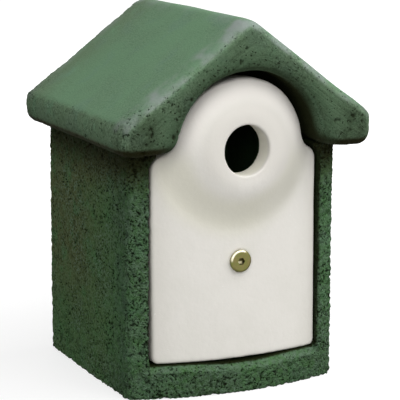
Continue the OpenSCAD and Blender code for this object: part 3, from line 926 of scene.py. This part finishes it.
def turned(name, rings, height, start, tips=None, facing=-1, sharp=35):
    """A turned piece from rings of radius and depth, closed by two tips or joined into a loop."""
    points, faces = [], []
    for radius, depth in rings:
        radii = np.broadcast_to(radius, (AROUND,))
        y = start - facing * depth
        points += [(r * math.cos(t), y, height + r * math.sin(t)) for r, t in zip(radii, STEPS)]
    last = len(rings) - 1
    pairs = [(ring, ring + 1) for ring in range(last)] + ([] if tips else [(last, 0)])
    following = [(step, (step + 1) % AROUND) for step in range(AROUND)]
    for one, two in pairs:
        a, b = one * AROUND, two * AROUND
        faces += [(a + j, a + k, b + k, b + j) for j, k in following]
    for ring, depth in zip((0, last), tips or ()):
        points.append((0.0, start - facing * depth, height))
        faces += [(len(points) - 1, ring * AROUND + j, ring * AROUND + k) for j, k in following]
    work = bmesh.new()
    corners = [work.verts.new(point) for point in points]
    for face in faces:
        work.faces.new([corners[i] for i in face])
    bmesh.ops.recalc_face_normals(work, faces=work.faces)
    mesh = bpy.data.meshes.new(name)
    work.to_mesh(mesh)
    work.free()
    shade_smooth(mesh, sharp)
    print(name, "has", len(rings), "rings")
    return add_object(name, mesh)


# %% [markdown]
# ## Plated and moulded finishes
# The bolt is zinc-plated and passivated, which gives its olive yellow with a faint play of tints.
# The other steel is galvanised, so zinc crystals show in it. The plastic parts are natural nylon.
# One plain metal would serve from afar, but the bolt's head is the only bright thing on the front,
# so a highlight is painted on its bevel and socket, and painted shade round the rest, where the real
# one shows them.

# %% Mix the metal and nylon finishes
def yellow_zinc(head_front, axis_z):
    """Yellow-passivated zinc with a painted highlight on its bevel's upper left,
    and painted shade round the rest.
    """
    material, make, shader = new_material("yellow zinc")
    place = make.object_place()
    tint = make.ramp(make.noise(place, 4 * MM, 3.0, 0.6), 0.35, 0.65)
    x, y, z = make.parts(place)
    depth = make.math("SUBTRACT", y, head_front)
    up_z = make.math("SUBTRACT", z, axis_z)
    radius = make.math("SQRT", make.math("ADD", make.product(x, x), make.product(up_z, up_z)))
    socket = make.product(make.ramp(radius, 2.7 * MM, 2.3 * MM), make.ramp(depth, 0.1 * MM, 1.2 * MM))
    bevel = make.product(make.ramp(radius, 5.7 * MM, 6.1 * MM), make.ramp(depth, 1.6 * MM, 1.2 * MM))
    towards = make.math("SUBTRACT", make.product(up_z, 0.87), make.product(x, 0.5))
    towards = make.math("DIVIDE", towards, make.math("MAXIMUM", radius, 0.1 * MM))
    # Painted highlights on the bevel's upper left and the socket's lower facet; painted shade on the rest of
    # the bevel and the socket's top.
    worn = make.product(bevel, make.ramp(towards, 0.42, 0.72), 0.9)
    worn_below = make.product(socket, make.ramp(up_z, -0.3 * MM, -1.0 * MM), 0.8)
    dirty = make.product(bevel, make.ramp(towards, 0.1, -0.6), 0.55)
    dirty_above = make.product(socket, make.ramp(up_z, -0.8 * MM, 0.0), 0.85)
    colour = make.paint(
        (0.165, 0.172, 0.052, 1), (tint, (0.200, 0.168, 0.068, 1)),
        (make.math("MAXIMUM", dirty, dirty_above), (0.03, 0.028, 0.01, 1)),
        (make.math("MAXIMUM", worn, worn_below), (0.72, 0.68, 0.50, 1)))
    make.feed(shader, {
        "Base Color": colour, "Metallic": 1.0,
        "Roughness": make.ramp(make.noise(place, 1.5 * MM, 4.0, 0.6), 0.3, 0.7, 0.26, 0.42),
        "Normal": make.bump(make.noise(place, 0.7 * MM), 0.06 * MM),
    })
    return material


def bright_zinc():
    """Galvanised steel with zinc crystals."""
    material, make, shader = new_material("bright zinc")
    place = make.object_place()
    crystals = make.add("ShaderNodeTexVoronoi", {"Vector": place, "Scale": 280.0}).outputs["Color"]
    level = make.parts(crystals)[0]
    dull = make.ramp(make.noise(place, 10 * MM, 5.0, 0.7), 0.5, 0.72, 0.0, 0.5)
    colour = make.paint((0.40, 0.41, 0.42, 1), (level, (0.56, 0.57, 0.58, 1)), (dull, (0.30, 0.30, 0.29, 1)))
    make.feed(shader, {
        "Base Color": colour, "Metallic": 0.9, "Roughness": make.ramp(level, 0.0, 1.0, 0.34, 0.52),
    })
    return material


def natural_nylon():
    """Off-white nylon, a little cloudy."""
    material, make, shader = new_material("natural nylon")
    cloud = make.ramp(make.noise(make.object_place(), 5 * MM), 0.3, 0.7)
    colour = make.paint((0.70, 0.70, 0.62, 1), (cloud, (0.76, 0.76, 0.70, 1)))
    make.feed(shader, {"Base Color": colour, "Roughness": 0.45})
    return material


bolt_low, bolt_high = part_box("panel_bolt")
YELLOW_ZINC = yellow_zinc(bolt_low.y, BOLT_Z)
BRIGHT_ZINC = bright_zinc()
NYLON = natural_nylon()
for node in ("bolt_bush", "hanger_plugs"):
    kept_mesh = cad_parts[node].data
    kept_mesh.materials.clear()
    kept_mesh.materials.append(NYLON)
print("finishes:", YELLOW_ZINC.name, BRIGHT_ZINC.name, NYLON.name)

# %% [markdown]
# ## Bolt
# The panel's bolt is a flat-head machine screw with a hexagon socket. The head is cold-formed, so
# its edge is a soft bevel and the socket has a small chamfer and a drilled cone at its bottom.
# The thread is rolled along the far end of the shank. It could be cut with a swept profile, but it
# follows a rule, a wave that advances by one pitch per turn, so a Geometry Nodes tree presses it in.

# %% Form the bolt
HEAD_R, HEAD_T, HEAD_FLAT_R, SHANK_R = 7.1 * MM, 2.4 * MM, 5.6 * MM, 3 * MM
SOCKET_AF, SOCKET_DEPTH = 4 * MM, 2.8 * MM
POINT_L = 1.2 * MM
THREAD_L = 24 * MM
THREAD_NUMBERS = {"Pitch": 1.0 * MM, "Depth": 0.55 * MM, "First": 0.0, "Last": 0.0, "Axis height": BOLT_Z}


def thread_tree():
    """The tree that presses a thread into a shank along Y."""
    make, given = new_rule("thread", THREAD_NUMBERS)
    x, y, z = make.parts(make.add("GeometryNodeInputPosition").outputs[0])
    up_z = make.math("SUBTRACT", z, given["Axis height"])
    turn = make.product(make.math("ARCTAN2", up_z, x), 1 / (2 * math.pi))
    phase = make.math("ADD", make.math("DIVIDE", y, given["Pitch"]), turn)
    wave = make.product(make.math("PINGPONG", phase, 0.5), 2.0)
    run_in = make.math("ADD", given["First"], make.product(given["Pitch"], 1.5))
    span = make.product(make.ramp(y, given["First"], run_in), make.math("LESS_THAN", y, given["Last"]))
    outwards = make.vector("NORMALIZE", make.joined(x, 0.0, up_z))
    press = make.product(wave, span, given["Depth"], -1.0)
    pressed = move_points(make, given["Geometry"], Offset=make.vector("SCALE", outwards, scale=press))
    return end_rule(make, pressed, given["Finish"])


def form_bolt():
    """The bolt with its socket, bevelled head, shank, thread and pointed end."""
    length = bolt_high.y - bolt_low.y
    socket = hexagon(SOCKET_AF)
    rings = [(socket * 0.97, SOCKET_DEPTH + 0.1 * MM), (socket, SOCKET_DEPTH), (socket, 0.3 * MM),
             (socket * 1.06, 0.04 * MM), (2.6 * MM, 0.0), (4 * MM, 0.0), (HEAD_FLAT_R, 0.0)]
    rings += curve(HEAD_FLAT_R, HEAD_R - HEAD_FLAT_R, 1.1 * MM)
    rings += [(HEAD_R, HEAD_T - 0.2 * MM), (HEAD_R - 0.15 * MM, HEAD_T)]
    rings += [(SHANK_R + 0.3 * MM, HEAD_T), (SHANK_R, HEAD_T + 0.3 * MM)]
    first, last = length - THREAD_L, length - POINT_L
    steps = round((last - first) / (THREAD_NUMBERS["Pitch"] / 8))
    rings += [(SHANK_R, first + (last - first) * step / steps) for step in range(steps + 1)]
    rings += [(SHANK_R - 0.9 * MM, length)]
    piece = turned("formed_bolt", rings, BOLT_Z, bolt_low.y, tips=(SOCKET_DEPTH + 0.5 * MM, length))
    run_tree(piece, thread_tree(), First=bolt_low.y + first, Last=bolt_low.y + last + 0.05 * MM,
             Finish=YELLOW_ZINC)
    shade_smooth(piece.data, 35)
    return piece


place_piece(form_bolt(), "bolt", "panel_bolt")

# %% [markdown]
# ## Washer, nut and crossbar
# A push-on washer with teeth grips the shank behind the panel, so the bolt can't get lost. The nut is
# chamfered on both faces and welded to a galvanised strip whose ends are cast into the walls. The
# packed strip has its right shape already, so it only needs its edges broken by a Bevel modifier.

# %% Make the washer, the nut and the crossbar
def stamp_washer():
    """The toothed washer, its face dished a little towards the teeth."""
    low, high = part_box("bolt_retainer")
    outer, thick = high.x, high.y - low.y
    slots = toothed(SHANK_R, 4.7 * MM, 6)
    rings = [(slots, 0.15 * MM), (4.9 * MM, 0.05 * MM), (outer - 0.2 * MM, 0.0), (outer, 0.2 * MM)]
    rings += [(outer, thick - 0.2 * MM), (outer - 0.2 * MM, thick)]
    rings += [(4.9 * MM, thick - 0.05 * MM), (slots, thick)]
    piece = turned("stamped_washer", rings, BOLT_Z, low.y)
    piece.data.materials.append(BRIGHT_ZINC)
    return piece


def press_nut():
    """The hexagon nut with a chamfer on both faces and round its bore."""
    low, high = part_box("crossbar_nut")
    flats, thick, bore = high.z - low.z, high.y - low.y, SHANK_R + 0.06 * MM
    sides = hexagon(flats)
    face = [(bore, 0.5 * MM), (bore + 0.45 * MM, 0.02 * MM)]
    face += [(np.minimum(sides, 0.475 * flats + step * 0.35 * MM), step * 0.2 * MM) for step in range(4)]
    rings = face + [(radius, thick - depth) for radius, depth in reversed(face)]
    piece = turned("welded_nut", rings, BOLT_Z, low.y, sharp=25)
    piece.data.materials.append(BRIGHT_ZINC)
    return piece


def bevelled(name, node, width):
    """A copy of a packed steel piece with its edges broken."""
    piece = add_object(name, joined_copy(node))
    bevel = piece.modifiers.new("broken edges", "BEVEL")
    bevel.width = width
    bevel.segments = 2
    bevel.limit_method = "ANGLE"
    bevel.angle_limit = math.radians(50)
    mesh = evaluated_mesh(piece)
    mesh.materials.append(BRIGHT_ZINC)
    shade_smooth(mesh, 30)
    print(name, "has", len(mesh.polygons), "faces")
    return piece


place_piece(stamp_washer(), "bolt", "bolt_retainer")
place_piece(press_nut(), "box", "crossbar_nut")
place_piece(bevelled("galvanised_crossbar", "crossbar", 0.4 * MM), "box", "crossbar")

# %% [markdown]
# ## Hanger
# The box hangs on a nail through the hole of a bent strap on its back. Two pan-head screws hold the
# strap. The second could be a copy of the first, but with a tree that puts one screw at every hole
# of a row, a strap with more holes would need only one other number.

# %% Fit the hanger
ROW_NUMBERS = {"Screws": 2, "Pitch": 58 * MM}


def screws_tree(screw):
    """The tree that puts a screw at each point of a row along X."""
    make, given = new_rule("row of screws", ROW_NUMBERS)
    run = make.product(given["Pitch"], make.math("SUBTRACT", given["Screws"], 1.0))
    row = make.add("GeometryNodeMeshLine", {
        "Count": given["Screws"], "Start Location": make.joined(make.product(run, -0.5)),
        "Offset": make.joined(given["Pitch"]),
    }).outputs[0]
    source = make.add("GeometryNodeObjectInfo", {"Object": screw}).outputs["Geometry"]
    placed = make.add("GeometryNodeInstanceOnPoints", {"Points": row, "Instance": source}).outputs[0]
    return end_rule(make, placed, given["Finish"])


def drive_screws():
    """Both pan-head screws with their cross recesses and tapered ends."""
    low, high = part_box("hanger_screws")
    length, head_r = high.y - low.y, (high.z - low.z) / 2
    head_t, shank_r, flat_r = 2.2 * MM, 2 * MM, 2.5 * MM
    rings = [(cross(1.1 * MM, 0.6 * MM), 1.5 * MM), (cross(2.0 * MM, 0.9 * MM), 0.05 * MM), (flat_r, 0.0)]
    rings += curve(flat_r, head_r - flat_r, 1.3 * MM)
    rings += [(head_r, head_t - 0.1 * MM), (head_r - 0.1 * MM, head_t), (shank_r, head_t)]
    rings += [(shank_r, length - 4 * MM), (shank_r * 0.55, length - 1 * MM)]
    screw = turned("one screw", rings, (low.z + high.z) / 2, high.y, tips=(1.6 * MM, length), facing=1)
    piece = add_object("pan_head_screws", bpy.data.meshes.new("screws"))
    run_tree(piece, screws_tree(screw), Screws=2, Pitch=high.x - low.x - 2 * head_r, Finish=BRIGHT_ZINC)
    shade_smooth(piece.data, 35)
    bpy.data.objects.remove(screw)
    return piece


place_piece(bevelled("bent_strap", "hanger_strap", 0.5 * MM), "box", "hanger_strap")
place_piece(drive_screws(), "box", "hanger_screws")

# %% [markdown]
# ## Mortar
# The roof was set on a bed of the same mix, which was wiped off roughly at the joint. A plain strip
# would look machined there, so it gets the skin of the castings, only flatter and dirtier.

# %% Lay the mortar
MORTAR_GREEN = cast_green(
    "cast green mortar", base=(0.045, 0.075, 0.040, 1), dark=(0.012, 0.018, 0.010, 1),
    bright=(0.09, 0.13, 0.09, 1), pale=(0.09, 0.13, 0.09, 1), stain=(0.05, 0.05, 0.03, 1),
    pit_size=1.8 * MM, grain_size=1.2 * MM, grain_height=0.6 * MM, rub_size=4 * MM)


def lay_mortar():
    """The rough bed between the walls and the roof."""
    piece, _ = even_skin("mortar_joint", "mortar_bed", voxel=0.7 * MM, times=2)
    put_numbers(piece.data, rough=0.5, open=0.3, stain=0.4, rubbed=0.0, dirt=0.6)
    grow_skin(piece, MORTAR_GREEN, most=40000, seed=5.0, Wobble=(20, 0.6), Lump=(4, 0.6),
              Crumb=(2, 0.5), Pit=(3, 0.3), Chip=(6, 0))
    return piece


place_piece(lay_mortar(), "box", "mortar_bed")
